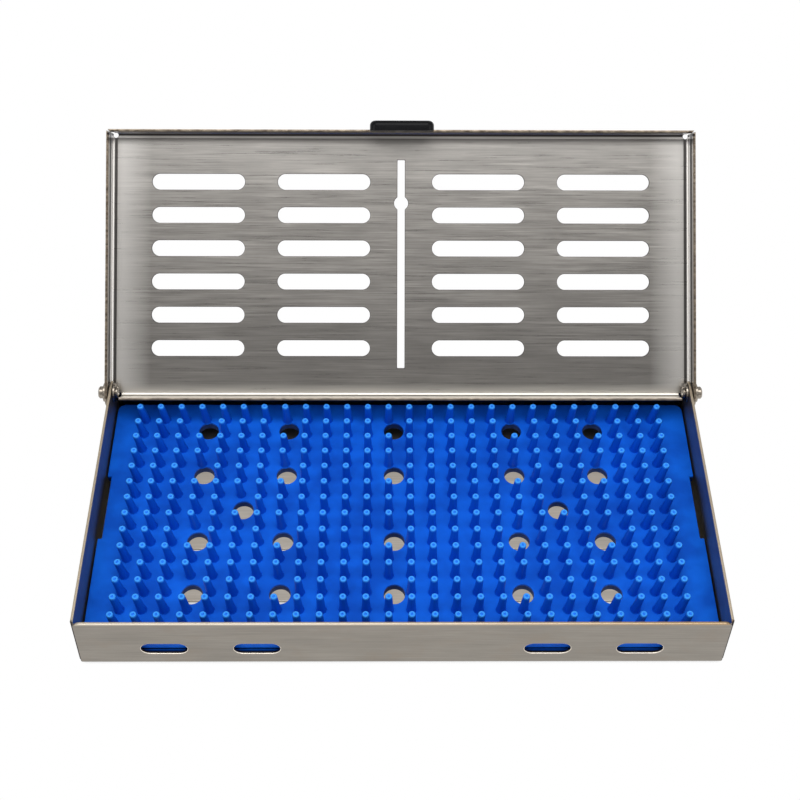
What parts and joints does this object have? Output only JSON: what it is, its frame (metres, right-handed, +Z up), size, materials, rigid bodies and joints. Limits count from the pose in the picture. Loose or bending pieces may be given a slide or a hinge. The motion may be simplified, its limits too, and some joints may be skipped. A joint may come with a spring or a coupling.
{
  "type": "dental instrument cassette",
  "caption": "Flat steel sterilising cassette, open: a shallow tray with a pinned blue silicone mat and a slotted lid hinged at the back, with a spring latch.",
  "frame": {"origin": "middle of the tray's flat underside, on the surface that it stands on", "axes": "+X along the tray to the right, +Y back to the hinge, +Z up"},
  "size_m": [0.187, 0.1398, 0.089],
  "materials": {
    "brushed_steel": "brushed along the length",
    "turned_steel": "satin",
    "blue_silicone": "satin",
    "black_rubber": "satin"
  },
  "bodies": {
    "base": {"tray": "brushed_steel", "silicone_mat": "blue_silicone", "hinge_rivet_left": "turned_steel", "hinge_rivet_right": "turned_steel", "outer_washer_left": "turned_steel", "outer_washer_right": "turned_steel", "inner_washer_left": "turned_steel", "inner_washer_right": "turned_steel"},
    "lid": {"lid": "brushed_steel"},
    "latch": {"latch_spring": "brushed_steel", "latch_grip": "black_rubber"}
  },
  "joints": [
    {"name": "lid_hinge", "type": "hinge", "parent": "base", "child": "lid", "pos_m": [0, 0.0384, 0.018], "axis": [1, 0, 0], "range_deg": [0, 134.5]},
    {"name": "latch_flex", "type": "hinge", "parent": "lid", "child": "latch", "pos_m": [0, 0.09698, 0.07547], "axis": [-1, 0, 0], "range_deg": [0, 10], "stiffness_Nm_per_rad": 0.3}
  ]
}
